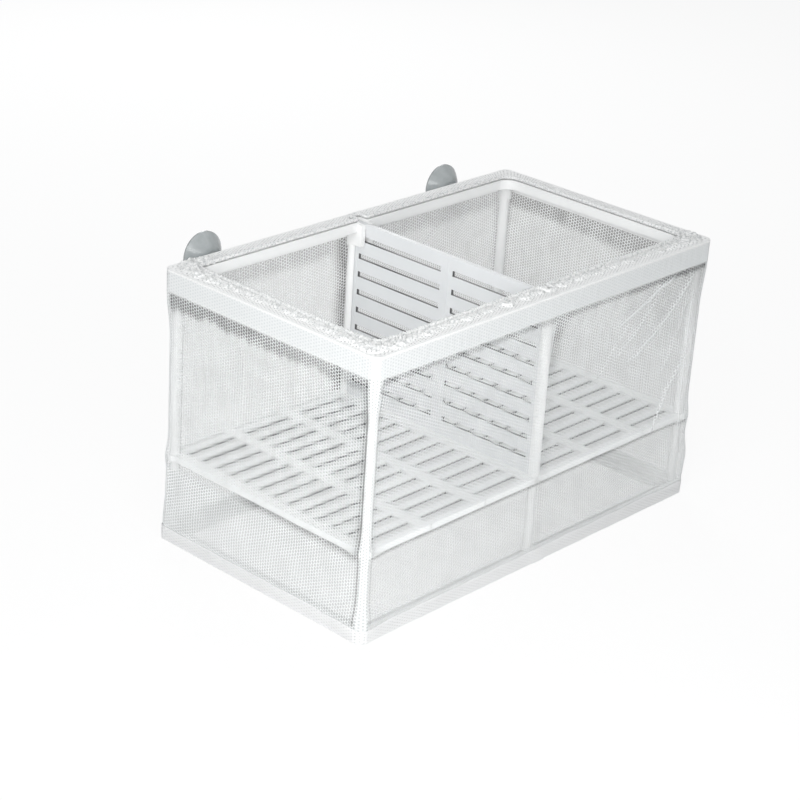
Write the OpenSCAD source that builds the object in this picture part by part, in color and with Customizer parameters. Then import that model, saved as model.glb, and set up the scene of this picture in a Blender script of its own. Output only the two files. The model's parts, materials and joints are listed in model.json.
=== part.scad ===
// Net breeding box for an aquarium: a pushed-together frame in a net bag,
// with two slotted shelves, a lift-out divider and two suction cups.
// The origin is the middle of the underside. X is the length and +Y the tank wall.

/* [Box] */
// Length of the frame
box_w = 265; // [240:1:300]
// Depth of the frame, front to back
box_d = 150; // [135:1:180]
// Height from the underside to the top of the rim
box_h = 154; // [140:1:180]
// Outer radius of the upright corners
corner_r = 4; // [3:0.5:5]

/* [Net] */
// Thickness of the net cloth
net_t = 0.5; // [0.4:0.1:0.8]
// Width of a strand, drawn at a coarser mesh than the real knit
strand = 1; // [0.6:0.1:1.4]
// Gaps along a long wall, an even number
gaps_long = 20; // [16:2:22]
// Gaps along a short wall
gaps_deep = 11; // [9:1:12]
// Gaps up a wall
gaps_up = 4; // [3:1:5]
// Gaps along the floor
floor_gaps_long = 13; // [11:1:15]
// Gaps across the floor
floor_gaps_deep = 4; // [3:1:6]
// Height of the folded seam round the bottom
seam_h = 7.5; // [5:0.5:12]
// Thickness of the folded seam
seam_t = 0.6; // [0.4:0.1:1]
// Diameter of the elastic cord
elastic_d = 1.4; // [1:0.1:1.8]
// Wall of the tunnel round the elastic
tunnel_wall = 0.35; // [0.3:0.05:0.5]
// Play between the elastic and its tunnel
elastic_gap = 0.05; // [0.05:0.05:0.1]
// How far the tunnel stays back from the mouth
tunnel_back = 1.2; // [1.2:0.1:1.6]
// Radius of the bends that lead the elastic round a divider guide
elastic_bend_r = 1.6; // [1.5:0.1:1.8]
// Clearance of the hem's slits on each side of the divider's way
slit_gap = 0.4; // [0.3:0.1:0.6]
// Clearance of the hem's slits past the ends of the divider's way
slit_end_gap = 0.8; // [0.6:0.1:1]
// Clearance of the elastic's tunnel from the ends of the slits
route_gap = 0.1; // [0.1:0.05:0.2]

/* [Rim] */
// Width of the top face of the rim
rim_w = 12; // [11.5:0.5:14]
// Height of the outer band
band_h = 11.5; // [10.5:0.5:14]
// Height of the inner skirt
skirt_h = 5.5; // [4:0.5:7]
// Wall of the outer band
band_wall = 2; // [1.6:0.1:2.1]
// Wall of the top face
rim_top_wall = 2; // [1.6:0.1:2.2]
// Wall of the inner skirt
skirt_wall = 1.6; // [1.2:0.1:2]
// Radius of the corners of the mouth
mouth_r = 8; // [6:0.5:10]
// How far the post sockets reach below the band
socket_drop = 3.5; // [2:0.5:6]
// Wall of every post socket
socket_wall = 0.9; // [0.8:0.1:1]

/* [Posts] */
// Diameter of a post above the shelf
post_d = 6; // [5.8:0.1:6.2]
// Diameter of a post below the shelf
leg_d = 5; // [4.6:0.1:5.2]
// Distance from a post's centre to the outside of the frame
post_inset = 5.2; // [5.2:0.1:5.6]
// Radial play of a post in its sockets and eyes
post_gap = 0.05; // [0.02:0.01:0.08]
// Height of the chamfer at the ends of a post
post_chamfer = 0.6; // [0.4:0.1:0.8]
// Gap between the top of a post and the end of its socket
post_end_gap = 0.3; // [0.2:0.1:0.5]

/* [Bottom frame] */
// Height of the outer wall
base_h = 8; // [6:0.5:10]
// Width of the ring
base_w = 9.5; // [9.2:0.1:12]
// Thickness of the outer wall
base_wall = 1.8; // [1.4:0.1:2]
// Thickness of the flat of the ring
base_floor = 1.6; // [1.2:0.1:2.5]
// Height of the low lip on the inner edge
base_lip_h = 3.5; // [2.5:0.5:5]
// Thickness of the low lip
base_lip = 0.8; // [0.6:0.1:0.8]
// Height of the post sockets above the flat
base_socket_h = 6; // [4:0.5:8]

/* [Shelves] */
// Height of the top of the shelves above the underside
shelf_z = 50.3; // [42:0.1:60]
// Thickness of the slotted plate
shelf_t = 2.2; // [1.6:0.1:3]
// Height of the edge band of a shelf
shelf_edge_h = 3.2; // [3:0.1:4.5]
// Width of the edge band of a shelf
shelf_edge_w = 1.8; // [1.4:0.1:2.4]
// Gap between a shelf and the outside of the frame
shelf_gap = 2; // [1.5:0.1:2.6]
// Gap between the two shelves
shelf_split = 0.6; // [0.4:0.1:0.8]
// Outer radius of the eyes round the corner posts
eye_r = 4.5; // [4.2:0.1:4.8]
// Length of a shelf slot
slot_len = 32; // [24:1:34]
// Width of every slot
slot_w = 3.2; // [2:0.1:4]
// Bar between two columns of slots
slot_bar = 9; // [6:0.5:10]
// Distance from one shelf slot to the next
slot_pitch = 10.7; // [8:0.1:12]
// Least plain margin round the shelf slots
shelf_margin = 6; // [5:0.5:8]

/* [Divider] */
// Thickness of the divider's edges
divider_t = 2.4; // [2:0.1:2.6]
// Thickness of the divider between its edges
divider_web = 1.8; // [1.4:0.1:1.9]
// Width of the divider's thicker edges
divider_edge = 2.6; // [2:0.1:3.2]
// Distance from the top of the divider to the top of the rim
divider_below = 1; // [0.6:0.1:3]
// Play of the divider on each face
divider_gap = 0.3; // [0.2:0.05:0.4]
// Play of the divider at each end
divider_end_gap = 0.4; // [0.2:0.1:0.6]
// Depth of the groove in a mid post
groove_depth = 1.8; // [1.4:0.1:2.2]
// Width of the bar down the middle of the divider
divider_bar = 8.4; // [6:0.2:12]
// Plain margin at each end of the divider
divider_margin = 3.8; // [3.4:0.1:6]
// Distance from one divider slot to the next
divider_pitch = 10.5; // [8:0.1:12]
// Height of the lowest slot above the foot of the divider
divider_foot = 9.7; // [7:0.1:12]
// Least margin above the top slot
divider_head = 8; // [7:0.5:12]
// Radius of the divider's corners
divider_r = 2; // [1:0.5:3]

/* [Divider guides] */
// Width of a guide block
guide_w = 9; // [8:0.5:9]
// How far a guide reaches in from the skirt
guide_reach = 3.2; // [2:0.2:4]
// Height of a guide block
guide_h = 13.5; // [10:0.5:14]
// Depth of the lead-in at the top of a guide
guide_lead = 2; // [1:0.2:2.6]

/* [Suction cups] */
// Diameter of a suction cup
cup_d = 26; // [22:1:30]
// Distance between the two cups
cup_spacing = 186; // [160:1:200]
// Distance from the rim's top to the centre of a cup
cup_drop = 6.4; // [6:0.1:7]
// Distance from the band to the face of a cup
cup_reach = 15.5; // [13:0.5:18]
// Diameter of a cup's neck
neck_d = 4.7; // [4:0.1:5]
// Radial play of the neck in its hole
neck_gap = 0.05; // [0.02:0.01:0.08]
// Diameter of the mushroom head inside the rim
head_d = 7.4; // [6.8:0.1:7.6]
// Length of the mushroom head
head_len = 4.5; // [3.5:0.1:5]
// Diameter of the hub outside the net
hub_d = 8.4; // [7.5:0.1:10]
// Length of the hub
hub_len = 6.6; // [5:0.1:8]
// Thickness of the middle of a cup
cup_wall = 2; // [1.5:0.1:2.5]
// Curve of the cup's back, from a cone at 1 to a trumpet's flare
cup_curve = 1.5; // [1:0.1:2]
// Width of the flat sealing lip
lip_w = 1; // [0.8:0.1:1.6]
// Thickness of the cup at the lip
lip_t = 0.9; // [0.7:0.1:1.2]
// Play of a cup along its axis
cup_play = 0.3; // [0.2:0.05:0.4]

/* [Hidden] */
$fn = 32;
cord_fn = 16;
cut = 1;
base_z = net_t;
base_top = base_z + base_floor;
band_z = box_h - band_h;
ceiling_z = box_h - rim_top_wall;
flat_w = box_w - 2 * corner_r;
flat_d = box_d - 2 * corner_r;
mouth_w = box_w - 2 * rim_w;
mouth_d = box_d - 2 * rim_w;
post_x = box_w / 2 - post_inset;
post_y = box_d / 2 - post_inset;
post_top = ceiling_z - post_end_gap;
post_bore_r = post_d / 2 + post_gap;
leg_bore_r = leg_d / 2 + post_gap;
groove_end = post_y - post_d / 2 + groove_depth;
groove_half = divider_t / 2 + divider_gap;
divider_half = groove_end - divider_end_gap;
divider_top = box_h - divider_below;
divider_h = divider_top - shelf_z;
divider_rows = floor((divider_h - divider_foot - divider_head) / divider_pitch) + 1;
divider_slot = divider_half - divider_margin - divider_bar / 2;
guide_y = mouth_d / 2 - guide_reach;
shelf_len = box_w / 2 - shelf_gap - shelf_split / 2;
shelf_mid = shelf_split / 2 + shelf_len / 2;
shelf_d = box_d - 2 * shelf_gap;
shelf_cols = floor((shelf_len - 2 * shelf_margin + slot_bar) / (slot_len + slot_bar));
shelf_rows = floor((shelf_d - 2 * shelf_margin - slot_w) / slot_pitch) + 1;
cup_z = box_h - cup_drop;
hub_start = net_t + cup_play;
tunnel_r = elastic_d / 2 + elastic_gap + tunnel_wall;
elastic_z = box_h + net_t / 2 + tunnel_r;
elastic_x = mouth_w / 2 + tunnel_back;
elastic_y = mouth_d / 2 + tunnel_back;
hem_slit = groove_half + slit_gap;
hem_slit_end = groove_end + slit_end_gap;
detour_x = hem_slit + tunnel_r + slit_gap;
detour_y = hem_slit_end + tunnel_r + route_gap;

// A rectangle with true round corners
module rounded(w, d, r) {
    square([w - 2 * r, d], center = true);
    square([w, d - 2 * r], center = true);
    for (x = [-1, 1], y = [-1, 1])
        translate([x * (w / 2 - r), y * (d / 2 - r)]) circle(r);
}

// A flat ring between two rounded rectangles, standing on height z
module ring(z, h, outer, inner) {
    translate([0, 0, z])
        linear_extrude(h)
            difference() {
                rounded(outer[0], outer[1], outer[2]);
                rounded(inner[0], inner[1], inner[2]);
            }
}

// The outline of the frame, moved in by some distance
function inset(by) = [box_w - 2 * by, box_d - 2 * by, max(corner_r - by, 0.5)];

// The outline of the mouth, moved out by some distance
function mouth(by) = [mouth_w + 2 * by, mouth_d + 2 * by, mouth_r + by];

// The six places where a post stands
module at_posts() {
    for (x = [-1, 0, 1], y = [-1, 1])
        translate([x * post_x, y * post_y, 0]) children();
}

// The way that the divider takes, through a guide or a mid post
module divider_way(z, h) {
    for (side = [-1, 1])
        translate([-groove_half, side > 0 ? 0 : -groove_end, z])
            cube([2 * groove_half, groove_end, h]);
}

// The guide blocks of the rim, which also hold the tops of the mid posts
module guides() {
    for (side = [0, 1])
        mirror([0, side, 0])
            translate([-guide_w / 2, guide_y, box_h - guide_h])
                cube([guide_w, post_y - guide_y, guide_h - rim_top_wall / 2]);
}

// The V-shaped lead-in at the top of both guides
module lead_ins() {
    for (side = [0, 1])
        mirror([0, side, 0])
            translate([0, groove_end, box_h])
                rotate([90, 0, 0])
                    linear_extrude(groove_end - guide_y + cut)
                        polygon([
                            [-groove_half, -guide_lead],
                            [groove_half, -guide_lead],
                            [groove_half + guide_lead, cut],
                            [-groove_half - guide_lead, cut]
                        ]);
}

module top_frame() {
    color("white")
        difference() {
            union() {
                ring(band_z, band_h, inset(0), inset(band_wall));
                ring(ceiling_z, rim_top_wall, inset(0), mouth(0));
                ring(box_h - skirt_h, skirt_h, mouth(skirt_wall), mouth(0));
                at_posts()
                    translate([0, 0, band_z - socket_drop])
                        cylinder(h = band_h + socket_drop - rim_top_wall / 2, r = post_bore_r + socket_wall);
                guides();
            }
            at_posts()
                translate([0, 0, band_z - socket_drop - cut])
                    cylinder(h = ceiling_z - band_z + socket_drop + cut, r = post_bore_r);
            divider_way(band_z - socket_drop - cut, band_h + socket_drop + 2 * cut);
            lead_ins();
            for (x = [-1, 1])
                translate([x * cup_spacing / 2, box_d / 2 - band_wall - cut, cup_z])
                    rotate([-90, 0, 0])
                        cylinder(h = band_wall + 2 * cut, r = neck_d / 2 + neck_gap);
        }
}

module bottom_frame() {
    color("white")
        difference() {
            union() {
                ring(base_z, base_h, inset(0), inset(base_wall));
                ring(base_z, base_floor, inset(0), inset(base_w));
                ring(base_z, base_lip_h, inset(base_w - base_lip), inset(base_w));
                at_posts()
                    translate([0, 0, base_z])
                        cylinder(h = base_floor + base_socket_h, r = leg_bore_r + socket_wall);
            }
            at_posts()
                translate([0, 0, base_top])
                    cylinder(h = base_socket_h + cut, r = leg_bore_r);
        }
}

// A rod with a thin leg up to the shelf and a thick post above it
module rod() {
    translate([0, 0, base_top])
        cylinder(h = post_chamfer, r1 = leg_d / 2 - post_chamfer, r2 = leg_d / 2);
    translate([0, 0, base_top + post_chamfer])
        cylinder(h = shelf_z - base_top - post_chamfer, r = leg_d / 2);
    translate([0, 0, shelf_z])
        cylinder(h = post_top - post_chamfer - shelf_z, r = post_d / 2);
    translate([0, 0, post_top - post_chamfer])
        cylinder(h = post_chamfer, r1 = post_d / 2, r2 = post_d / 2 - post_chamfer);
}

module corner_post(x, y) {
    color("white")
        translate([x * post_x, y * post_y, 0]) rod();
}

module mid_post(y) {
    color("white")
        difference() {
            translate([0, y * post_y, 0]) rod();
            divider_way(shelf_z, post_top - shelf_z + cut);
        }
}

// The slots of a shelf, as cuts in its outline
module shelf_slots() {
    for (col = [0 : shelf_cols - 1], row = [0 : shelf_rows - 1])
        translate([
            (col - (shelf_cols - 1) / 2) * (slot_len + slot_bar),
            (row - (shelf_rows - 1) / 2) * slot_pitch
        ])
            square([slot_len, slot_w], center = true);
}

// The outline of the right shelf, whose outer corners are left to its round eyes
module shelf_outline() {
    difference() {
        translate([shelf_mid, 0]) square([shelf_len, shelf_d], center = true);
        for (side = [0, 1])
            mirror([0, side])
                translate([post_x, post_y]) square(eye_r);
    }
}

// The right shelf, which is mirrored for the left one
module shelf() {
    difference() {
        union() {
            translate([0, 0, shelf_z - shelf_t])
                linear_extrude(shelf_t)
                    difference() {
                        shelf_outline();
                        translate([shelf_mid, 0]) shelf_slots();
                    }
            translate([0, 0, shelf_z - shelf_edge_h])
                linear_extrude(shelf_edge_h)
                    difference() {
                        shelf_outline();
                        translate([shelf_mid, 0])
                            square([shelf_len - 2 * shelf_edge_w, shelf_d - 2 * shelf_edge_w], center = true);
                    }
            for (y = [-1, 1])
                translate([post_x, y * post_y, shelf_z - shelf_edge_h])
                    cylinder(h = shelf_edge_h, r = eye_r);
        }
        at_posts()
            translate([0, 0, shelf_z - shelf_edge_h - cut])
                cylinder(h = shelf_edge_h + 2 * cut, r = leg_bore_r);
        for (side = [0, 1])
            mirror([0, side, 0])
                translate([-leg_bore_r, post_y, shelf_z - shelf_edge_h - cut])
                    cube([2 * leg_bore_r, shelf_d / 2, shelf_edge_h + 2 * cut]);
    }
}

module shelf_right() {
    color("whitesmoke") shelf();
}

module shelf_left() {
    color("whitesmoke") mirror([1, 0, 0]) shelf();
}

// Two columns of slots in the divider, drawn with its height along Y
module divider_slots() {
    for (side = [-1, 1], row = [0 : divider_rows - 1])
        translate([
            side * (divider_bar / 2 + divider_slot / 2),
            divider_foot + row * divider_pitch
        ])
            square([divider_slot, slot_w], center = true);
}

// The outline of the divider, moved in by some distance
module divider_outline(by) {
    translate([0, divider_h / 2])
        rounded(2 * (divider_half - by), divider_h - 2 * by, divider_r);
}

module divider() {
    color("white")
        translate([0, 0, shelf_z])
            rotate([90, 0, 90]) {
                linear_extrude(divider_web, center = true)
                    difference() {
                        divider_outline(0);
                        divider_slots();
                    }
                linear_extrude(divider_t, center = true)
                    difference() {
                        divider_outline(0);
                        divider_outline(divider_edge);
                    }
                linear_extrude(divider_t, center = true)
                    translate([-divider_edge / 2, 0])
                        square([divider_edge, divider_h]);
            }
}

// Half the section of a cup: head, neck, hub and bell, with the height along its axis
module cup_section() {
    steps = 8;
    hub_end = hub_start + hub_len;
    hub_r = hub_d / 2;
    cup_r = cup_d / 2;
    back_rise = cup_reach - lip_t - hub_end;
    face_rise = cup_reach - cup_wall - hub_end;
    polygon(concat(
        [
            [0, -band_wall - cup_play - head_len],
            [head_d / 5, -band_wall - cup_play - head_len],
            [head_d / 2, -band_wall - cup_play - 1],
            [head_d / 2, -band_wall - cup_play],
            [neck_d / 2, -band_wall - cup_play],
            [neck_d / 2, hub_start],
            [hub_r, hub_start]
        ],
        [for (i = [0 : steps])
            [
                hub_r + (cup_r - hub_r) * i / steps,
                hub_end + back_rise * pow(i / steps, cup_curve)
            ]],
        [[cup_r, cup_reach]],
        [for (i = [steps : -1 : 0])
            [
                hub_r + (cup_r - lip_w - hub_r) * i / steps,
                hub_end + cup_wall + face_rise * pow(i / steps, cup_curve)
            ]],
        [[0, hub_end + cup_wall]]
    ));
}

module suction_cup(x) {
    color("lightgray", 0.6)
        translate([x * cup_spacing / 2, box_d / 2, cup_z])
            rotate([-90, 0, 0])
                rotate_extrude() cup_section();
}

// The gaps between the strands of a flat stretch of net, as cuts in it
module net_gaps(w, h, cols, rows) {
    for (col = [0 : cols - 1], row = [0 : rows - 1])
        translate([(col - (cols - 1) / 2) * w / cols, (row - (rows - 1) / 2) * h / rows])
            square([w / cols - strand, h / rows - strand], center = true);
}

// The gaps of an upright wall, from the seam to the rim, standing on the X axis
module wall_gaps(w, cols) {
    seam_top = net_t + seam_h;
    translate([0, 0, (seam_top + band_z) / 2])
        rotate([90, 0, 0])
            linear_extrude(2 * net_t + cut, center = true)
                net_gaps(w, band_z - seam_top, cols, gaps_up);
}

// The four walls of the net, of which a caller keeps one
module net_walls() {
    ring(net_t, box_h - net_t, inset(-net_t), inset(0));
}

// The part of the walls that belongs to the front or the back
module net_long_wall(side) {
    difference() {
        intersection() {
            net_walls();
            translate([-flat_w / 2, side > 0 ? 0 : -box_d, 0]) cube([flat_w, box_d, box_h]);
        }
        translate([0, side * box_d / 2, 0]) wall_gaps(flat_w, gaps_long);
    }
}

// The part of the walls at one end, with its two round corners
module net_short_wall(side) {
    difference() {
        intersection() {
            net_walls();
            translate([side > 0 ? flat_w / 2 : -flat_w / 2 - box_w, -box_d, 0])
                cube([box_w, 2 * box_d, box_h]);
        }
        translate([side * box_w / 2, 0, 0])
            rotate([0, 0, 90]) wall_gaps(flat_d, gaps_deep);
    }
}

module net_front() {
    color("ghostwhite", 0.5) net_long_wall(-1);
}

module net_back() {
    color("ghostwhite", 0.5)
        difference() {
            net_long_wall(1);
            for (x = [-1, 1])
                translate([x * cup_spacing / 2, box_d / 2 - cut, cup_z])
                    rotate([-90, 0, 0])
                        cylinder(h = net_t + 2 * cut, r = neck_d / 2 + cup_play);
        }
}

module net_left() {
    color("ghostwhite", 0.5) net_short_wall(-1);
}

module net_right() {
    color("ghostwhite", 0.5) net_short_wall(1);
}

module net_floor() {
    outline = inset(-net_t);
    color("ghostwhite", 0.5)
        linear_extrude(net_t)
            difference() {
                rounded(outline[0], outline[1], outline[2]);
                net_gaps(flat_w, flat_d, floor_gaps_long, floor_gaps_deep);
            }
}

// A straight run of cord from one point to another, both at the cord's height
module cord_run(from, to, r) {
    run = to - from;
    translate([from[0], from[1], elastic_z])
        rotate([0, 90, atan2(run[1], run[0])])
            cylinder(h = norm(run), r = r, $fn = cord_fn);
}

// A quarter bend of cord about a centre, from a starting angle
module cord_bend(centre, start, bend_r, r) {
    translate([centre[0], centre[1], elastic_z])
        rotate([0, 0, start])
            rotate_extrude(angle = 90, $fn = cord_fn)
                translate([bend_r, 0]) circle(r, $fn = cord_fn);
}

// The closed route of the elastic, which goes round the outside of each guide's slot
module elastic_route(r) {
    b = elastic_bend_r;
    corner_x = elastic_x - mouth_r;
    corner_y = elastic_y - mouth_r;
    for (mx = [0, 1], my = [0, 1])
        mirror([mx, 0, 0])
            mirror([0, my, 0]) {
                cord_run([elastic_x, 0], [elastic_x, corner_y], r);
                cord_bend([corner_x, corner_y], 0, mouth_r, r);
                cord_run([detour_x + b, elastic_y], [corner_x, elastic_y], r);
                cord_bend([detour_x + b, elastic_y + b], 180, b, r);
                cord_run([detour_x, elastic_y + b], [detour_x, detour_y - b], r);
                cord_bend([detour_x - b, detour_y - b], 0, b, r);
                cord_run([0, detour_y], [detour_x - b, detour_y], r);
            }
}

module net_hem() {
    color("ghostwhite", 0.7)
        difference() {
            union() {
                ring(box_h, net_t, inset(-net_t), mouth(tunnel_back));
                elastic_route(tunnel_r);
            }
            elastic_route(elastic_d / 2 + elastic_gap);
            translate([-hem_slit, -hem_slit_end, box_h - cut])
                cube([2 * hem_slit, 2 * hem_slit_end, net_t + 2 * cut]);
        }
}

module hem_elastic() {
    color("gainsboro") elastic_route(elastic_d / 2);
}

module net_bottom_seam() {
    color("ghostwhite", 0.7)
        ring(net_t, seam_h, inset(-net_t - seam_t), inset(-net_t));
}

top_frame();
bottom_frame();
corner_post(-1, -1);  // corner_post_front_left
corner_post(1, -1);  // corner_post_front_right
corner_post(-1, 1);  // corner_post_back_left
corner_post(1, 1);  // corner_post_back_right
mid_post(-1);  // mid_post_front
mid_post(1);  // mid_post_back
shelf_left();
shelf_right();
divider();
suction_cup(-1);  // suction_cup_left
suction_cup(1);  // suction_cup_right
net_front();
net_back();
net_left();
net_right();
net_floor();
net_hem();
hem_elastic();
net_bottom_seam();
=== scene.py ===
import json
import math

import bpy
import numpy as np
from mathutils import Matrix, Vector


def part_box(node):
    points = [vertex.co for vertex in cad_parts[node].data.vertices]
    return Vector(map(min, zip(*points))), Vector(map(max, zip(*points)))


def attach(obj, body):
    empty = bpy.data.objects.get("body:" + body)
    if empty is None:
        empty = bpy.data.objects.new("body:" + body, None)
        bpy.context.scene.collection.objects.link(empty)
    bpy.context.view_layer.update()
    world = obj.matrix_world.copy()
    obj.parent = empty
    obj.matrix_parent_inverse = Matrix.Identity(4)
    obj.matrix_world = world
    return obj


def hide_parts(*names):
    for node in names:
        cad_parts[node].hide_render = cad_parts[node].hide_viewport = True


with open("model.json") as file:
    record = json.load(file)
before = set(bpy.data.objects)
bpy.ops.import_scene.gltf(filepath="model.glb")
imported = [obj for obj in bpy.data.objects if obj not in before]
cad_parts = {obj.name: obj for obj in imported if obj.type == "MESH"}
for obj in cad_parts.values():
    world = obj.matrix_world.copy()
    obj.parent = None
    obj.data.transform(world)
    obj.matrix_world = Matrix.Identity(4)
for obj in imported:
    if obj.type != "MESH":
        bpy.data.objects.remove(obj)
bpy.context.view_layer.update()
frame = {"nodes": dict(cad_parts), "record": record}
nodes = frame["nodes"]
print("frame loaded")

mm = 0.001


# the two ends of a node along an axis in millimetres, to a thousandth
def nodeEnds(node, axis):
    low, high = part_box(node)
    return round(low[axis] / mm, 3), round(high[axis] / mm, 3)


def nodeMiddle(node, axis):
    low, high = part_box(node)
    return round((low[axis] + high[axis]) / 2 / mm, 3)


# the box's sizes in millimetres, from the frame but for two that no node's ends give
box = {
    "halfLength": nodeEnds("top_frame", 0)[1],
    "halfDepth": nodeEnds("top_frame", 1)[1],
    "height": nodeEnds("top_frame", 2)[1],
    "cornerRadius": nodeEnds("top_frame", 0)[1] - nodeEnds("net_back", 0)[1],
    "bandBottom": 142.5,
    "ringTop": nodeEnds("bottom_frame", 2)[1],
    "postX": nodeMiddle("corner_post_back_right", 0),
    "postY": nodeMiddle("corner_post_back_right", 1),
    "cupX": nodeMiddle("suction_cup_right", 0),
    "cupZ": nodeMiddle("suction_cup_right", 2),
    "dividerWeb": 1.8,
}


# camera

cameraPlace = {
    "location": (-0.8177, -0.7053, 0.5521),
    "turn": (65.783, -3.437, -46.575),
    "lens": 98.0,
}
cameraData = bpy.data.cameras.new("camera")
cameraData.lens = cameraPlace["lens"]
cameraData.sensor_width = 36
cameraData.clip_start = 0.01
camera = bpy.data.objects.new("camera", cameraData)
camera.location = cameraPlace["location"]
camera.rotation_euler = [math.radians(a) for a in cameraPlace["turn"]]
bpy.context.scene.collection.objects.link(camera)
bpy.context.scene.camera = camera
print("camera placed")


# small helpers for node trees

def newMaterial(name):
    mat = bpy.data.materials.new(name)
    mat.use_nodes = True
    mat.node_tree.nodes.clear()
    return mat, mat.node_tree


# a node with its settings, and a number, a colour or a link for each input that is named
def addNode(tree, kind, inputs=None, **settings):
    node = tree.nodes.new(kind)
    for key, value in settings.items():
        setattr(node, key, value)
    for key, value in (inputs or {}).items():
        if isinstance(value, bpy.types.NodeSocket):
            tree.links.new(value, node.inputs[key])
        else:
            node.inputs[key].default_value = value
    return node


def objectPlace(tree):
    return addNode(tree, "ShaderNodeTexCoord").outputs["Object"]


def clothPlace(tree):
    return addNode(tree, "ShaderNodeUVMap", uv_map="cloth").outputs[0]


def splitAxes(tree, vector):
    return addNode(tree, "ShaderNodeSeparateXYZ", {0: vector}).outputs


def calc(tree, operation, *values):
    return addNode(tree, "ShaderNodeMath", dict(enumerate(values)), operation=operation).outputs[0]


def remap(tree, value, fromLow, fromHigh, toLow, toHigh, smooth=False):
    ends = {"From Min": fromLow, "From Max": fromHigh, "To Min": toLow, "To Max": toHigh}
    node = addNode(tree, "ShaderNodeMapRange", {"Value": value, **ends})
    node.interpolation_type = "SMOOTHSTEP" if smooth else "LINEAR"
    return node.outputs["Result"]


def noise(tree, coordinates, scale, detail=2.0):
    inputs = {"Vector": coordinates, "Scale": scale, "Detail": detail}
    return addNode(tree, "ShaderNodeTexNoise", inputs).outputs["Fac"]


def blendColours(tree, factor, first, second):
    node = addNode(tree, "ShaderNodeMix", data_type="RGBA")
    tree.links.new(factor, node.inputs["Factor"])
    node.inputs["A"].default_value = (*first, 1)
    node.inputs["B"].default_value = (*second, 1)
    return node.outputs["Result"]


def mixShaders(tree, factor, first, second):
    return addNode(tree, "ShaderNodeMixShader", {0: factor, 1: first, 2: second}).outputs[0]


def addBump(tree, height, distance, strength, under=None):
    inputs = {"Height": height, "Distance": distance, "Strength": strength}
    if under:
        inputs["Normal"] = under
    return addNode(tree, "ShaderNodeBump", inputs).outputs["Normal"]


# moulded white plastic

plasticLook = {
    "rim": ((0.90, 0.90, 0.895), (0.86, 0.865, 0.86)),
    # the ring is the rim's plastic painted paler: painted light where the shelf shades it
    "ring": ((0.96, 0.96, 0.955), (0.93, 0.935, 0.93)),
    "shelf": ((0.95, 0.955, 0.95), (0.915, 0.92, 0.92)),
    "divider": ((0.75, 0.76, 0.77), (0.69, 0.705, 0.715)),
    "flowScale": 26.0,
    "flowSpan": (0.3, 0.75),
    "shine": (0.34, 0.50),
    "shineScale": 140.0,
    "grainScale": 1900.0,
    "grainHeight": 0.35,
    "waveScale": 170.0,
    "bumpHeight": 0.12 * mm,
    "bumpStrength": 0.35,
    "refraction": 1.49,
    # how dark the slots' walls are painted, as painted shade, and the depths under a shelf's top over which
    # it fades
    "slotWallShade": 0.16,
    "slotShadeFade": (1.6 * mm, 0.3 * mm),
    "slotPitch": 10.7 * mm,
    "columnPitch": 41 * mm,
    "slotHalfLength": 16 * mm,
    "slotHalfWidth": 1.6 * mm,
    "slotRounding": 1.5 * mm,
    "shelfMargin": 5 * mm,
    "dividerMargin": 3.2 * mm,
    "crown": 0.9 * mm,
    # painted shade on the half of each shelf strip towards the tank wall
    "farHalfShade": 0.82,
    "farHalfShadeSpan": (0.30, 0.48),
}


# 1 between two places along an axis and 0 past them
def between(tree, value, low, high, soft=0.4 * mm):
    rise = remap(tree, value, low, low + soft, 0.0, 1.0)
    fall = remap(tree, value, high - soft, high, 1.0, 0.0)
    return calc(tree, "MULTIPLY", rise, fall)


# where a plate's slots are painted with shade: their walls lie inside its margins and square to its faces
def slotShadeMask(tree, place, node, facing, margin):
    low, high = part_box(node)
    spot = splitAxes(tree, place)
    turned = splitAxes(tree, addNode(tree, "ShaderNodeNewGeometry").outputs["Normal"])
    inside = calc(tree, "SUBTRACT", 1.0, calc(tree, "ABSOLUTE", turned[facing]))
    if facing == "X":  # the divider's slots are in its thinner web
        half = box["dividerWeb"] / 2 * mm
        depth = calc(tree, "ABSOLUTE", spot["X"])
        inside = calc(tree, "MULTIPLY", inside, remap(tree, depth, 0.94 * half, half, 1.0, 0.0))
    for axis, start, end in zip("XYZ", low, high):
        if axis == facing:
            continue
        side = spot[axis]
        if axis == "X":  # the left plate mirrors the right one
            side = calc(tree, "ABSOLUTE", side)
            start, end = max(start, 0.0), max(end, -start)
        inside = calc(tree, "MULTIPLY", inside, between(tree, side, start + margin, end - margin))
    if facing == "Z":  # a shelf's slots darken downwards
        dark, pale = [high[2] - down for down in plasticLook["slotShadeFade"]]
        inside = calc(tree, "MULTIPLY", inside, remap(tree, spot["Z"], dark, pale, 1.0, 0.0))
    return inside


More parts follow.
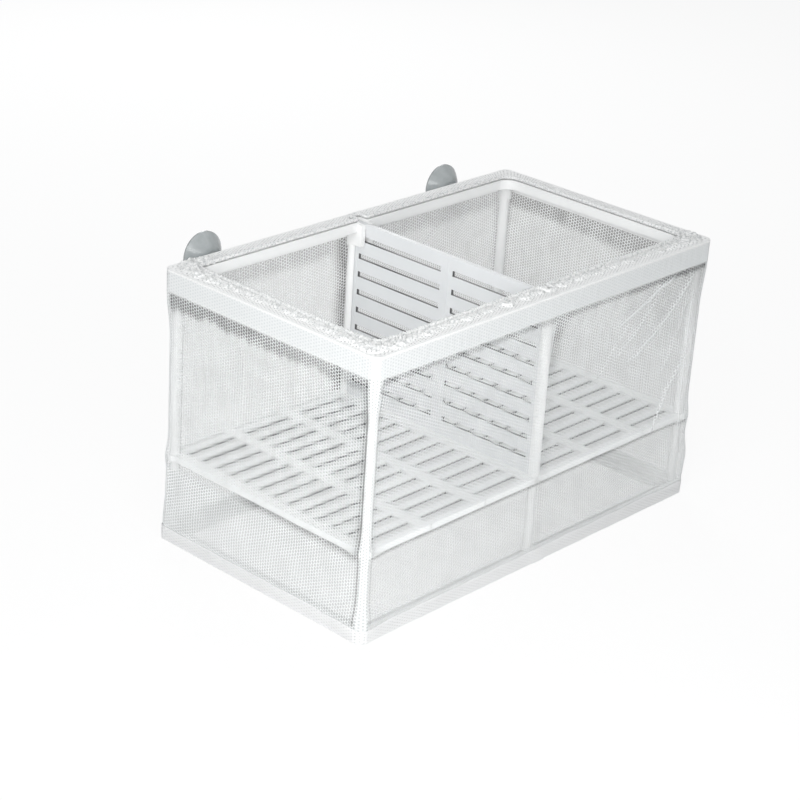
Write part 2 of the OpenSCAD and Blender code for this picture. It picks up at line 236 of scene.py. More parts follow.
# how high a shelf's surface is and how much painted shade it gets: each strip between two slots is a little
# crowned
def crownedStripsAndShade(tree, place):
    look = plasticLook
    low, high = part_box("shelf_right")
    spot = splitAxes(tree, place)
    sideways = calc(tree, "SUBTRACT", calc(tree, "ABSOLUTE", spot["X"]), (low[0] + high[0]) / 2)
    sideways = calc(tree, "PINGPONG", sideways, look["columnPitch"] / 2)
    half = look["slotHalfLength"]
    column = remap(tree, sideways, half, half + look["slotRounding"], 1.0, 0.0, True)
    pitch = look["slotPitch"]
    fromSlot = calc(tree, "PINGPONG", spot["Y"], pitch / 2)
    slope = remap(tree, fromSlot, look["slotHalfWidth"], pitch / 2, 1.0, 0.0)
    hollow = calc(tree, "MULTIPLY", calc(tree, "MULTIPLY", slope, slope), column)
    # the half of a strip towards the tank wall slopes down and is painted greyer: painted shade
    strip = calc(tree, "ADD", spot["Y"], pitch - look["slotHalfWidth"])
    strip = calc(tree, "FLOORED_MODULO", strip, pitch)
    paintedShade = remap(tree, strip, *[share * pitch for share in look["farHalfShadeSpan"]], 0.0, 1.0, True)
    tone = remap(tree, calc(tree, "MULTIPLY", paintedShade, column), 0.0, 1.0, 1.0, look["farHalfShade"])
    return calc(tree, "SUBTRACT", 1.0, hollow), tone


def mouldedPlastic(name, kind, slots=None, crowned=False):
    look = plasticLook
    mat, tree = newMaterial(name)
    place = objectPlace(tree)
    flow = remap(tree, noise(tree, place, look["flowScale"], 3.0), *look["flowSpan"], 0.0, 1.0)
    colour = blendColours(tree, flow, *look[kind])
    strips = None
    if slots:
        # the slots' walls are painted darker: painted shade
        light = remap(tree, slotShadeMask(tree, place, *slots), 0.0, 1.0, 1.0, look["slotWallShade"])
        if crowned:
            # the strips' far halves get painted shade as well
            relief, tone = crownedStripsAndShade(tree, place)
            light = calc(tree, "MULTIPLY", light, tone)
            strips = addBump(tree, relief, look["crown"], 1.0)
        shaded = {0: colour, "Scale": light}
        colour = addNode(tree, "ShaderNodeVectorMath", shaded, operation="SCALE").outputs[0]
    grain = calc(tree, "MULTIPLY", noise(tree, place, look["grainScale"], 2.0), look["grainHeight"])
    height = calc(tree, "ADD", grain, noise(tree, place, look["waveScale"], 1.0))
    skin = addNode(tree, "ShaderNodeBsdfPrincipled", {
        "Base Color": colour,
        "Roughness": remap(tree, noise(tree, place, look["shineScale"], 4.0), 0.3, 0.7, *look["shine"]),
        "Normal": addBump(tree, height, look["bumpHeight"], look["bumpStrength"], strips),
        "IOR": look["refraction"],
    })
    addNode(tree, "ShaderNodeOutputMaterial", {"Surface": skin.outputs[0]})
    return mat


# where each plate's slots lie, for the painted shade on their walls
shelfSlots = ("shelf_right", "Z", plasticLook["shelfMargin"])
dividerSlots = ("divider", "X", plasticLook["dividerMargin"])
framePlastic = mouldedPlastic("framePlastic", "rim")
# a paler copy of the rim's plastic for the ring: painted light
ringPlasticPaintedPaler = mouldedPlastic("ringPlasticPaintedPaler", "ring")
shelfPlastic = mouldedPlastic("shelfPlastic", "shelf", shelfSlots, crowned=True)
dividerPlastic = mouldedPlastic("dividerPlastic", "divider", dividerSlots)


# clear soft vinyl of the cups

vinylLook = {
    "tint": (0.50, 0.53, 0.535),
    "cloud": (0.42, 0.45, 0.455),
    "cloudScale": 220.0,
    "shine": (0.14, 0.26),
    "waveScale": 90.0,
    "waveHeight": 0.3 * mm,
    "clear": 0.45,
    "refraction": 1.43,
    "specular": 0.6,
}


def softVinyl(name):
    look = vinylLook
    mat, tree = newMaterial(name)
    place = objectPlace(tree)
    cloud = noise(tree, place, look["cloudScale"], 3.0)
    patches = remap(tree, cloud, 0.3, 0.7, 0.0, 1.0)
    waves = noise(tree, place, look["waveScale"], 2.0)
    skin = addNode(tree, "ShaderNodeBsdfPrincipled", {
        "Base Color": blendColours(tree, patches, look["tint"], look["cloud"]),
        "Roughness": remap(tree, cloud, 0.3, 0.7, *look["shine"]),
        "Normal": addBump(tree, waves, look["waveHeight"], 0.3),
        "Transmission Weight": look["clear"],
        "IOR": look["refraction"],
        "Specular IOR Level": look["specular"],
    })
    addNode(tree, "ShaderNodeOutputMaterial", {"Surface": skin.outputs[0]})
    return mat


cupVinyl = softVinyl("cupVinyl")


# the knit: staggered round holes, in real size, along each sheet's own map

knitLook = {
    "columnPitch": 1.8 * mm,
    "rowPitch": 1.76 * mm,
    "holeHalfWidth": 0.83 * mm,
    "holeShare": 1.0,
    "openerBy": 0.10 * mm,
    "holeShape": 1.8,
    "narrower": 1.12,
    "softEdge": 0.12 * mm,
    "wanderScale": 90.0,
    "shadedHoleTint": 0.24,
    "yarn": (0.90, 0.912, 0.912),
    "yarnFlecksAndShade": (0.74, 0.76, 0.765),
    "speckScale": 900.0,
    "speckSpan": (0.3, 0.75),
    "fleckDepth": 0.45,
    # painted shade in each stitch where the cloth is closed, and how dark it is
    "stitch": (0.30 * mm, 0.85 * mm),
    "stitchShadeDepth": 0.95,
    "threadScale": 430.0,
    "crumpled": False,
    "twistPitch": 0.21 * mm,
    "twistHeight": 0.10,
    "ribHeight": 0.35,
    "bumpHeight": 0.25 * mm,
    "roughness": (0.55, 0.72),
    "specular": 0.35,
    "sheen": 0.15,
    "sheenRoughness": 0.4,
    "letsLightThrough": 0.33,
}
# the gathered hem is closer, and the folded seam has two plies
hemLook = {
    **knitLook,
    "holeShare": 0.5,
    "yarn": (0.94, 0.94, 0.935),
    # the hem's dark flecks are painted shade in its crumples
    "yarnFlecksAndShade": (0.56, 0.58, 0.58),
    "speckScale": 720.0,
    "speckSpan": (0.42, 0.66),
    "fleckDepth": 1.0,
    "stitchShadeDepth": 0.30,
    "crumpled": True,
    "letsLightThrough": 0.08,
}
seamLook = {
    **knitLook,
    "holeShare": 0.36,
    "yarn": (0.97, 0.97, 0.97),
    "yarnFlecksAndShade": (0.90, 0.905, 0.905),
    "speckScale": 720.0,
    "speckSpan": (0.40, 0.70),
    "fleckDepth": 1.0,
    "stitchShadeDepth": 0.30,
    "letsLightThrough": 0.36,
}


# the way to the middle of the nearest hole, in two grids that are half a step apart
def awayFromHoles(tree, look, split, column):
    aways = []
    for shift in (0.0, 0.5):
        across = calc(tree, "PINGPONG", calc(tree, "ADD", calc(tree, "MULTIPLY", column, 0.5), shift), 0.5)
        along = calc(tree, "ADD", calc(tree, "DIVIDE", split["Y"], look["rowPitch"]), shift)
        along = calc(tree, "PINGPONG", along, 0.5)
        dx = calc(tree, "POWER", calc(tree, "MULTIPLY", across, 2 * look["columnPitch"]), look["holeShape"])
        dy = calc(tree, "MULTIPLY", along, look["rowPitch"] * look["narrower"])
        dy = calc(tree, "POWER", dy, look["holeShape"])
        aways.append(calc(tree, "POWER", calc(tree, "ADD", dx, dy), 1 / look["holeShape"]))
    return calc(tree, "MINIMUM", *aways)


# 1 on the thread and 0 in the holes, which are wider where the knit is stretched open
def threadCover(tree, look, away, openness, wander):
    radius = calc(tree, "ADD", calc(tree, "MULTIPLY", openness, look["openerBy"]), look["holeHalfWidth"])
    share = look["holeShare"]
    radius = calc(tree, "MULTIPLY", radius, remap(tree, wander, 0.25, 0.75, 0.9 * share, 1.1 * share))
    edges = [calc(tree, operation, radius, look["softEdge"]) for operation in ("SUBTRACT", "ADD")]
    return remap(tree, away, *edges, 0.0, 1.0, True)


# loops stand up between the holes, and each wale is a faint rib
def knitRelief(tree, look, split, column, thread):
    rib = calc(tree, "ABSOLUTE", calc(tree, "SINE", calc(tree, "MULTIPLY", column, math.pi)))
    slant = calc(tree, "ADD", split["X"], split["Y"])
    twist = calc(tree, "SINE", calc(tree, "MULTIPLY", slant, 2 * math.pi / look["twistPitch"]))
    height = calc(tree, "ADD", thread, calc(tree, "MULTIPLY", twist, look["twistHeight"]))
    return twist, calc(tree, "ADD", height, calc(tree, "MULTIPLY", rib, look["ribHeight"]))


# how grey the yarn is: small flecks of its own, and painted shade in the stitches where the cloth is closed
def knitFlecksAndShade(tree, look, place, away, veil):
    specks = noise(tree, place, look["speckScale"], 3.0)
    flecks = remap(tree, specks, *look["speckSpan"], 0.0, look["fleckDepth"])
    if look["crumpled"]:  # pale threads lie over the flecks, which end where the cloth lies flat
        # here the flecks are painted shade in the crumples
        strand = calc(tree, "SUBTRACT", noise(tree, place, look["threadScale"], 2.0), 0.5)
        strand = calc(tree, "ABSOLUTE", strand)
        flecks = calc(tree, "MULTIPLY", flecks, remap(tree, strand, 0.005, 0.05, 0.0, 1.0))
        flecks = calc(tree, "MULTIPLY", flecks, remap(tree, veil, 0.0, 0.8, 1.0, 0.0))
    # closed cloth is painted darker in each stitch: painted shade
    stitchHollowShade = remap(tree, away, *look["stitch"], look["stitchShadeDepth"], 0.0, True)
    return calc(tree, "MAXIMUM", flecks, stitchHollowShade)


def knitCloth(name, look):
    mat, tree = newMaterial(name)
    place = clothPlace(tree)
    openness, veil, holeShade = [
        addNode(tree, "ShaderNodeAttribute", attribute_name=key).outputs["Fac"]
        for key in ("openness", "veil", "holeShade")
    ]
    wander = noise(tree, place, look["wanderScale"], 2.0)
    split = splitAxes(tree, place)
    column = calc(tree, "DIVIDE", split["X"], look["columnPitch"])
    away = awayFromHoles(tree, look, split, column)
    thread = threadCover(tree, look, away, openness, wander)
    # fine loose fibres fill part of each hole, most of all in the middle of a panel
    fibres = calc(tree, "MULTIPLY", veil, remap(tree, wander, 0.25, 0.75, 0.85, 1.15))
    cover = calc(tree, "MAXIMUM", thread, fibres)

    # beside the frame the holes are tinted darker: painted shade
    depth = remap(tree, holeShade, 0.0, 1.0, 1.0, look["shadedHoleTint"])
    paintedShade = addNode(tree, "ShaderNodeCombineColor", {0: depth, 1: depth, 2: depth})
    clear = addNode(tree, "ShaderNodeBsdfTransparent", {"Color": paintedShade.outputs[0]})

    # the yarn's own flecks, and painted shade in its stitches and crumples
    flecks = knitFlecksAndShade(tree, look, place, away, veil)
    colour = blendColours(tree, flecks, look["yarn"], look["yarnFlecksAndShade"])
    twist, height = knitRelief(tree, look, split, column, thread)
    normal = addBump(tree, height, look["bumpHeight"], 0.5)
    skin = addNode(tree, "ShaderNodeBsdfPrincipled", {
        "Base Color": colour,
        "Roughness": remap(tree, twist, -1.0, 1.0, *look["roughness"]),
        "Normal": normal,
        "Specular IOR Level": look["specular"],
        "Sheen Weight": look["sheen"],
        "Sheen Roughness": look["sheenRoughness"],
    })
    through = addNode(tree, "ShaderNodeBsdfTranslucent", {"Color": colour, "Normal": normal})
    cloth = mixShaders(tree, look["letsLightThrough"], skin.outputs[0], through.outputs[0])
    net = mixShaders(tree, cover, clear.outputs[0], cloth)
    addNode(tree, "ShaderNodeOutputMaterial", {"Surface": net})
    return mat


netKnit = knitCloth("netKnit", knitLook)
hemKnit = knitCloth("hemKnit", hemLook)
seamKnit = knitCloth("seamKnit", seamLook)


# the covered elastic

elasticLook = {
    "braid": 7000.0,
    "valleyShade": (0.66, 0.67, 0.67),
    "crest": (0.88, 0.88, 0.87),
    "roughness": (0.8, 0.6),
    "braidHeight": 0.1 * mm,
}


def braidedCover(name):
    look = elasticLook
    mat, tree = newMaterial(name)
    split = splitAxes(tree, clothPlace(tree))
    strands = []
    for operation in ("ADD", "SUBTRACT"):
        slant = calc(tree, operation, split["X"], split["Y"])
        strands.append(calc(tree, "SINE", calc(tree, "MULTIPLY", slant, look["braid"])))
    braid = calc(tree, "MAXIMUM", *strands)
    # the valleys between the strands are painted darker: painted shade
    raised = remap(tree, braid, -1.0, 1.0, 0.0, 1.0)
    skin = addNode(tree, "ShaderNodeBsdfPrincipled", {
        "Base Color": blendColours(tree, raised, look["valleyShade"], look["crest"]),
        "Roughness": remap(tree, braid, -1.0, 1.0, *look["roughness"]),
        "Normal": addBump(tree, braid, look["braidHeight"], 0.6),
    })
    addNode(tree, "ShaderNodeOutputMaterial", {"Surface": skin.outputs[0]})
    return mat


elasticCover = braidedCover("elasticCover")
print("materials made")


# the plastic and vinyl pieces keep the frame's own shapes

finishes = {
    "frame_plastic": framePlastic,
    "shelf_plastic": shelfPlastic,
    "divider_plastic": dividerPlastic,
    "cup_vinyl": cupVinyl,
}
for part in frame["record"]["subparts"]:
    finish = finishes.get(part["material_slot"])
    if finish:
        piece = nodes[part["node"]]
        for slot in piece.material_slots:
            # the bottom ring takes the paler copy of the frame's plastic: painted light
            slot.material = ringPlasticPaintedPaler if part["node"] == "bottom_frame" else finish


# shapes of cloth

def ease(t):
    t = np.clip(t, 0, 1)
    return t * t * (3 - 2 * t)


def swell(value, middle, width):
    return np.exp(-(((value - middle) / width) ** 2))


# 1 up to nothing and falling past it
def fadePast(value, width):
    return swell(np.maximum(value, 0), 0, width)


# soft seeded waves over a pair of coordinates, about -1 to 1
def ripple(a, b, longest, shortest, seed, count=9):
    picker = np.random.default_rng(seed)
    total = 0
    for _ in range(count):
        wave = 2 * math.pi / picker.uniform(shortest, longest)
        lean = picker.uniform(0, 2 * math.pi)
        start = picker.uniform(0, 2 * math.pi)
        total = total + np.sin(wave * (a * math.cos(lean) + b * math.sin(lean)) + start)
    return total / math.sqrt(count)


# a grid of points becomes one piece, with its map in real size
def clothPiece(name, points, mapping, openness, material, closed=False, drop=None, veil=0.0, holeShade=0.0):
    rows, columns = points.shape[:2]
    mesh = bpy.data.meshes.new(name)
    index = np.arange(rows * columns).reshape(rows, columns)
    last = columns if closed else columns - 1
    faces = []
    for c in range(last):
        n = (c + 1) % columns
        for r in range(rows - 1):
            if drop is None or not drop[r, c]:
                faces.append((index[r, c], index[r, n], index[r + 1, n], index[r + 1, c]))
    mesh.from_pydata((points.reshape(-1, 3) * mm).tolist(), [], [tuple(int(i) for i in f) for f in faces])
    layer = mesh.uv_layers.new(name="cloth")
    corners = np.zeros(len(mesh.loops), dtype=np.int32)
    mesh.loops.foreach_get("vertex_index", corners)
    flatMap = mapping.reshape(-1, 2)[corners]
    layer.data.foreach_set("uv", (flatMap * mm).astype(np.float32).ravel())
    for key, values in (("openness", openness), ("veil", veil), ("holeShade", holeShade)):
        attribute = mesh.attributes.new(key, "FLOAT", "POINT")
        spreadOut = np.broadcast_to(values, (rows, columns)).astype(np.float32)
        attribute.data.foreach_set("value", spreadOut.ravel())
    mesh.materials.append(material)
    mesh.shade_smooth()
    piece = bpy.data.objects.new(name, mesh)
    bpy.context.scene.collection.objects.link(piece)
    return piece


def arc(centre, radius, fromAngle, toAngle, count):
    angles = np.radians(np.linspace(fromAngle, toAngle, count))
    normals = np.stack([np.cos(angles), np.sin(angles)], -1)
    return np.array(centre) + radius * normals, normals


def straight(start, end, normal, count):
    share = np.linspace(0, 1, count)[:, None]
    points = np.array(start, float) * (1 - share) + np.array(end, float) * share
    return points, np.broadcast_to(np.array(normal, float), points.shape)


def joined(pieces):
    points = [pieces[0][0]]
    normals = [pieces[0][1]]
    for p, n in pieces[1:]:
        points.append(p[1:])
        normals.append(n[1:])
    points, normals = np.concatenate(points), np.concatenate(normals)
    steps = np.linalg.norm(np.diff(points, axis=0), axis=1)
    return points, normals, np.concatenate([[0], np.cumsum(steps)])


# how finely the walls are divided along their length and up their height
wallSteps = {"long": 235, "short": 130, "corner": 8, "ring": 8, "net": 124, "rim": 14}
# half the length and depth of the box, its corners' radius and half of its straight sides
w, d, r = box["halfLength"], box["halfDepth"], box["cornerRadius"]
flatX, flatY = w - r, d - r
wallPaths = {
    "front": joined([straight((-flatX, -d), (flatX, -d), (0, -1), wallSteps["long"])]),
    "right": joined([
        arc((flatX, -flatY), r, -90, 0, wallSteps["corner"]),
        straight((w, -flatY), (w, flatY), (1, 0), wallSteps["short"]),
        arc((flatX, flatY), r, 0, 90, wallSteps["corner"]),
    ]),
    "back": joined([straight((flatX, d), (-flatX, d), (0, 1), wallSteps["long"])]),
    "left": joined([
        arc((-flatX, flatY), r, 90, 180, wallSteps["corner"]),
        straight((-w, flatY), (-w, -flatY), (-1, 0), wallSteps["short"]),
        arc((-flatX, -flatY), r, 180, 270, wallSteps["corner"]),
    ]),
}

# creases of the walls: points along and up the wall, then a height and a width
wallCreases = {
    "front": [
        ([(121, 141), (115, 133.8), (108, 124), (100.8, 116.6), (90, 109), (81.6, 104.8), (76, 100),
          (69.2, 98.7), (62, 91)], 0.9, 1.2),
        ([(104, 141.5), (95, 138), (87.7, 136.3), (80, 131), (74, 129), (63, 124), (56, 121.5),
          (49, 117)], 0.7, 1.2),
        ([(120, 92), (117.3, 83.9), (113.4, 78.5), (108.3, 72), (106, 67), (104.3, 62.8),
          (101.7, 58.1), (98.5, 48.5), (97.8, 44.1)], 0.9, 1.0),
        ([(119.5, 128), (115, 117), (113, 108), (109, 101), (108, 94), (101, 84), (100, 76)], 0.4, 1.2),
        ([(90, 132), (80, 122), (72, 113), (66, 110), (60, 105), (52, 96)], 0.4, 1.3),
        ([(70, 126), (60, 113), (55, 110), (46, 98), (36, 92)], 0.3, 1.2),
        ([(122.2, 132), (121.5, 90), (121.8, 20)], 0.35, 1.2),
    ],
    "back": [
        ([(-120, 141), (-104, 124), (-92, 112), (-80, 104)], 0.3, 1.6),
        ([(90, 139), (72, 131), (55, 118), (50, 104)], 0.25, 1.4),
    ],
    "left": [
        ([(20, 138), (17, 118), (18, 96), (10, 70)], 0.22, 1.3),
        ([(-22, 136), (-25, 112), (-20, 88)], 0.2, 1.3),
        ([(48, 130), (44, 100), (46, 72)], 0.18, 1.3),
    ],
}


# raised lines on a wall, and how close each point is to one
def creases(a, z, lines):
    height = np.zeros(np.broadcast(a, z).shape)
    closeness = height.copy()
    for points, tall, wide in lines:
        nearest = np.full(height.shape, 1e9)
        fade = np.zeros(height.shape)
        count = len(points) - 1
        for i, ((x0, z0), (x1, z1)) in enumerate(zip(points, points[1:])):
            dx, dz = x1 - x0, z1 - z0
            t = np.clip(((a - x0) * dx + (z - z0) * dz) / (dx * dx + dz * dz), 0, 1)
            far = np.hypot(a - x0 - t * dx, z - z0 - t * dz)
            closer = far < nearest
            nearest = np.where(closer, far, nearest)
            fade = np.where(closer, (i + t) / count, fade)
        profile = ease(fade / 0.12) * ease((1 - fade) / 0.25)
        hollow = 0.35 * swell(nearest, 2.6 * wide, 1.6 * wide)
        height += tall * profile * (swell(nearest, 0, wide) - hollow)
        closeness = np.maximum(closeness, min(1, tall / 0.7) * profile * swell(nearest, 0, 0.85 * wide))
    return height, closeness


# how the net's walls stand in millimetres; a bulge is an amount, a height and half its width
netForm = {
    "gap": 0.28,
    "fallIn": 2.0,
    "fallInBelowRim": 26,
    "fallInOverRing": (9, 37),
    "postRadius": 5.2,
    "postReach": 5.0,
    "frontRightReach": 14.0,
    "frontLeftReach": 9.0,
    "shelfBulge": (1.35, 48.7, 7.5),
    "frontRightBulge": (1.2, 24, 12),
    "frontRightSlack": 0.6,
    "frontLeftBulge": (0.9, 7, 7),
    "looseBelow": 46,
    "looseBy": (0.25, 0.38),
    "waves": 0.16,
    "rimWrinkles": 0.06,
    "neckHole": 3.3,
}


# 1 at a post and less away from it
def nearPost(x, y, postX, postY, reach):
    return fadePast(np.hypot(x - postX, y - postY) - netForm["postRadius"], reach)


def bulge(z, amount, height, width):
    return amount * swell(z, height, width)


# how far the cloth stands out from the frame's outline
def netShape(x, y, z):
    form = netForm
    postX, postY = box["postX"], box["postY"]
    overRing, ringFade = form["fallInOverRing"]
    tight = ease((box["bandBottom"] - z) / form["fallInBelowRim"]) * ease((z - overRing) / ringFade)
    anyPost = nearPost(np.abs(x), np.abs(y), postX, postY, form["postReach"])
    frontRight = nearPost(x, y, postX, -postY, form["frontRightReach"])
    frontLeft = nearPost(x, y, -postX, -postY, form["frontLeftReach"])
    out = form["gap"] - form["fallIn"] * tight
    out = out + anyPost * bulge(z, *form["shelfBulge"])
    out = out + frontRight * (form["frontRightSlack"] * tight + bulge(z, *form["frontRightBulge"]))
    out = out + frontLeft * bulge(z, *form["frontLeftBulge"])
    loose = ease((form["looseBelow"] - z) / 9) * ease((z - 8) / 7)
    around = x * 0.9 + y * 1.1
    slack, sway = form["looseBy"]
    out = out + loose * (slack + sway * ripple(around, z * 0.7, 46, 12, 3))
    out = out + form["waves"] * tight * (1 - 0.8 * anyPost) * ripple(around, z, 60, 18, 5)
    # faint upright wrinkles over the rim
    onRim = ease((z - box["bandBottom"] - 1) / 2) * ease((box["height"] - 0.5 - z) / 2)
    return out + form["rimWrinkles"] * onRim * ripple(around * 1.2, z * 0.3, 9, 3, 7)


# where each wall's holes are painted darker, as painted shade: reach in millimetres below the rim, beside the
# posts of the wall's low and high end and its middle, and under the shelf, each with a strength
holeShadeZones = {
    "front": {"rim": (4.5, 0.7), "low": (2.5, 0.35), "high": (3, 0), "middle": (5, 0.6), "shelf": (1.3, 0.8)},
    "right": {"rim": (13, 0.65), "low": (3, 0), "high": (3.5, 0.5), "middle": (1, 0), "shelf": (1.3, 0.2)},
    "back": {"rim": (13.0, 0.4), "low": (3, 0), "high": (3.5, 0.4), "middle": (5, 0.9), "shelf": (1.3, 0.1)},
    "left": {"rim": (11, 0.82), "low": (3.8, 0.8), "high": (3, 0), "middle": (1, 0), "shelf": (2.8, 0.8)},
}
# painted shade in the holes over each wall's whole upper part
holeShadeEverywhere = {"front": 0.03, "right": 0.16, "back": 0.0, "left": 0.13}
wallHeights = {"lowest": 0.35, "seam": 10, "upperPart": 44, "shelf": 46.9, "belowTop": 0.1}
# beside the end posts the painted shade starts a little off the corner, and it is narrow low down
postZone = {"offCorner": 0.8, "lowWidth": 1.6, "midPostRadius": 5.0, "midLowWidth": 1.4}


# 1 up to a good part of a reach, then a quick fall to 0
def level(distance, reach):
    return 1 - ease((distance / reach - 0.5) / 0.5)


def shadeUnderRim(side, x, y, z, streaks):
    reach, strength = holeShadeZones[side]["rim"]
    under = box["bandBottom"] - z
    longer = 1 + 0.18 * streaks
    if side == "right":  # widest at the front end
        longer = longer + 0.45 * ease((50 - y) / 100)
    if side in ("right", "back"):
        longer = longer - 0.15 * streaks
    rim = strength * level(under, reach * longer)
    if side == "front":  # stronger and reaching further down towards the right
        toRight = ease((x - 30) / 70)
        rim = rim * (0.75 + 0.25 * toRight) + 0.30 * toRight * fadePast(under, 34) * (z > 52)
    if side == "left":  # least at the front
        rim = rim * (0.7 + 0.3 * ease((y + 40) / 60))
    return rim


# beside the posts at a wall's ends, which are low and high millimetres away
def shadeByEndPosts(side, low, high, upper):
    lowReach, lowStrength = holeShadeZones[side]["low"]
    highReach, highStrength = holeShadeZones[side]["high"]
    narrow = postZone["lowWidth"]
    post = lowStrength * fadePast(low, narrow + upper * (lowReach - narrow))
    return post + highStrength * fadePast(high, highReach) * upper


def shadeByMidPost(side, x, z, away, upper):
    reach, strength = holeShadeZones[side]["middle"]
    narrow = postZone["midLowWidth"]
    half = strength * fadePast(away, narrow + upper * (reach - narrow))
    if side == "front":  # strong only beside the right half, under the rim
        half = half * np.where(x > 0, 0.25 + 0.75 * ease((z - 95) / 40), 0.2)
    if side == "back":  # only beside the left half
        half = half * np.where(x > 1.5, 0.0, 1.0)
    return half


def shadeUnderShelf(side, y, z):
    reach, strength = holeShadeZones[side]["shelf"]
    below = wallHeights["shelf"] - z
    shelf = strength * fadePast(below, reach) * (below > 0)
    if side == "left":  # most towards the front
        shelf = shelf * (0.1 + 0.9 * ease((25 - y) / 25))
    return shelf


# how much painted shade darkens a wall's holes near a part of the frame, though not over it
def holeShadeBesideFrame(side, x, y, z):
    along, end = (x, flatX) if side in ("front", "back") else (y, flatY)
    low, high = end + along - postZone["offCorner"], end - along - postZone["offCorner"]
    middle = np.hypot(x, np.abs(y) - box["postY"]) - postZone["midPostRadius"]
    upper = ease((z - wallHeights["upperPart"]) / 3)
    streaks = ripple(x + y, z * 0.12, 9, 3, 51)
    near = shadeUnderRim(side, x, y, z, streaks)
    near = np.maximum(near, shadeByEndPosts(side, low, high, upper))
    near = np.maximum(near, shadeByMidPost(side, x, z, middle, upper))
    near = np.maximum(near, shadeUnderShelf(side, y, z))
    near = np.maximum(near, holeShadeEverywhere[side] * upper * (1 + 0.25 * streaks))
    clear = ease(low / 0.8 + 1) * ease(high / 0.8 + 1) * ease(middle / 0.8 + 0.5)
    clear = clear * ease((box["bandBottom"] - z) / 0.8)
    return near * clear * ease((z - box["ringTop"]) / 2)


# how far the net is wrapped round a corner, where several layers are seen at once
def roundCorner(x, y):
    return np.where((np.abs(x) > flatX) & (np.abs(y) > flatY), 1.0, 0.0)


# how far a point lies round a corner post or over the rim, where no hole is seen
def overFrame(x, y, z):
    return np.maximum(0.4 * roundCorner(x, y), ease((z - box["bandBottom"]) / 0.8))


# how far the knit is stretched open
def netOpenness(x, y, z, holeShade):
    loose = 0.1 + 0.7 * holeShade + 0.25 * ripple(x + y, z, 40, 12, 11)
    return loose - 9.0 * overFrame(x, y, z) - 1.5 * ease((wallHeights["seam"] - z) / 3)


# how much of each hole loose fibres fill away from the frame, and how much more below the shelf
netVeil = {"front": 0.05, "left": 0.06, "back": 0.20, "right": 0.12, "floor": 0.0}
lowVeil = {"front": 0.10, "left": 0.34, "back": 0.10, "right": 0.0}


# the two holes for the cups' necks, hidden behind their hubs: the grid's points in a hole move
# out to its edge, and the cells inside it are left out
def openNeckHoles(grid):
    drop = np.zeros(grid.shape[:2], bool)
    radius = netForm["neckHole"]
    for cupX in (-box["cupX"], box["cupX"]):
        away = np.hypot(grid[..., 0] - cupX, grid[..., 2] - box["cupZ"])
        near = away < radius
        lean = np.where(near, radius / np.maximum(away, 0.2), 1.0)
        grid[..., 0] = np.where(near, cupX + (grid[..., 0] - cupX) * lean, grid[..., 0])
        grid[..., 2] = np.where(near, box["cupZ"] + (grid[..., 2] - box["cupZ"]) * lean, grid[..., 2])
        drop[:-1, :-1] |= near[:-1, :-1] & near[1:, :-1] & near[:-1, 1:] & near[1:, 1:]
    return drop


rows = np.concatenate([
    np.linspace(wallHeights["lowest"], box["ringTop"], wallSteps["ring"]),
    np.linspace(box["ringTop"], box["bandBottom"], wallSteps["net"])[1:],
    np.linspace(box["bandBottom"], box["height"] - wallHeights["belowTop"], wallSteps["rim"])[1:],
])
around = 0.0
for side in ("front", "right", "back", "left"):
    points, normals, length = wallPaths[side]
    x, y, z = points[None, :, 0], points[None, :, 1], rows[:, None]
    out = netShape(x, y, z)
    # painted shade in the holes beside the frame
    holeShade = holeShadeBesideFrame(side, x, y, z) * np.ones_like(out)
    openness = netOpenness(x, y, z, holeShade)
    veil = (netVeil[side] + lowVeil[side] * ease((netForm["looseBelow"] - z) / 5)) * (1 - holeShade)
    veil = np.maximum(veil, 0.75 * roundCorner(x, y))
    if side in wallCreases:
        ridge, closeness = creases(y if side == "left" else x, z, wallCreases[side])
        out = out + ridge
        openness = openness - 0.4 * closeness
        veil = np.maximum(veil, 0.9 * closeness)
    grid = np.zeros((len(rows), len(points), 3))
    grid[..., 0] = x + normals[None, :, 0] * out
    grid[..., 1] = y + normals[None, :, 1] * out
    grid[..., 2] = z
    drop = openNeckHoles(grid) if side == "back" else None
    mapping = np.zeros((len(rows), len(points), 2))
    mapping[..., 0] = around + length[None, :]
    mapping[..., 1] = z
    name = "net" + side.capitalize()
    netWall = clothPiece(name, grid, mapping, openness, netKnit, drop=drop, veil=veil, holeShade=holeShade)
    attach(netWall, "box")
    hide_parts("net_" + side)
    flat = (length[-1] * mm, box["height"] * mm)
    around += length[-1]
print("net walls made")


# the floor of the net

floorSize = {"edge": 0.3, "middle": 0.22, "waves": 0.09, "lowest": 0.03, "highest": 0.42, "steps": (160, 92)}
edge = floorSize["edge"]
stepsAcross, stepsAlong = floorSize["steps"]
across = np.linspace(-w - edge, w + edge, stepsAcross)
along = np.linspace(-d - edge, d + edge, stepsAlong)
gx, gy = np.meshgrid(across, along)
# the corners are drawn in to their round
overX = np.maximum(np.abs(gx) - flatX, 0)
overY = np.maximum(np.abs(gy) - flatY, 0)
reach = np.hypot(overX, overY)
limit = r + edge
pull = np.where((overX > 0) & (overY > 0) & (reach > limit), limit / np.maximum(reach, 1e-6), 1.0)
gx = np.sign(gx) * (np.abs(gx) - overX * (1 - pull))
gy = np.sign(gy) * (np.abs(gy) - overY * (1 - pull))
floorZ = floorSize["middle"] + floorSize["waves"] * ripple(gx, gy, 60, 15, 21)
floorZ = np.clip(floorZ, floorSize["lowest"], floorSize["highest"])
floorGrid = np.stack([gx, gy, floorZ], -1)
floorOpen = 0.7 + 0.2 * ripple(gx, gy, 40, 12, 22)
floorMap = np.stack([gx, gy], -1)
netFloor = clothPiece("netFloor", floorGrid, floorMap, floorOpen, netKnit, veil=netVeil["floor"])
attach(netFloor, "box")
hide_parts("net_floor")
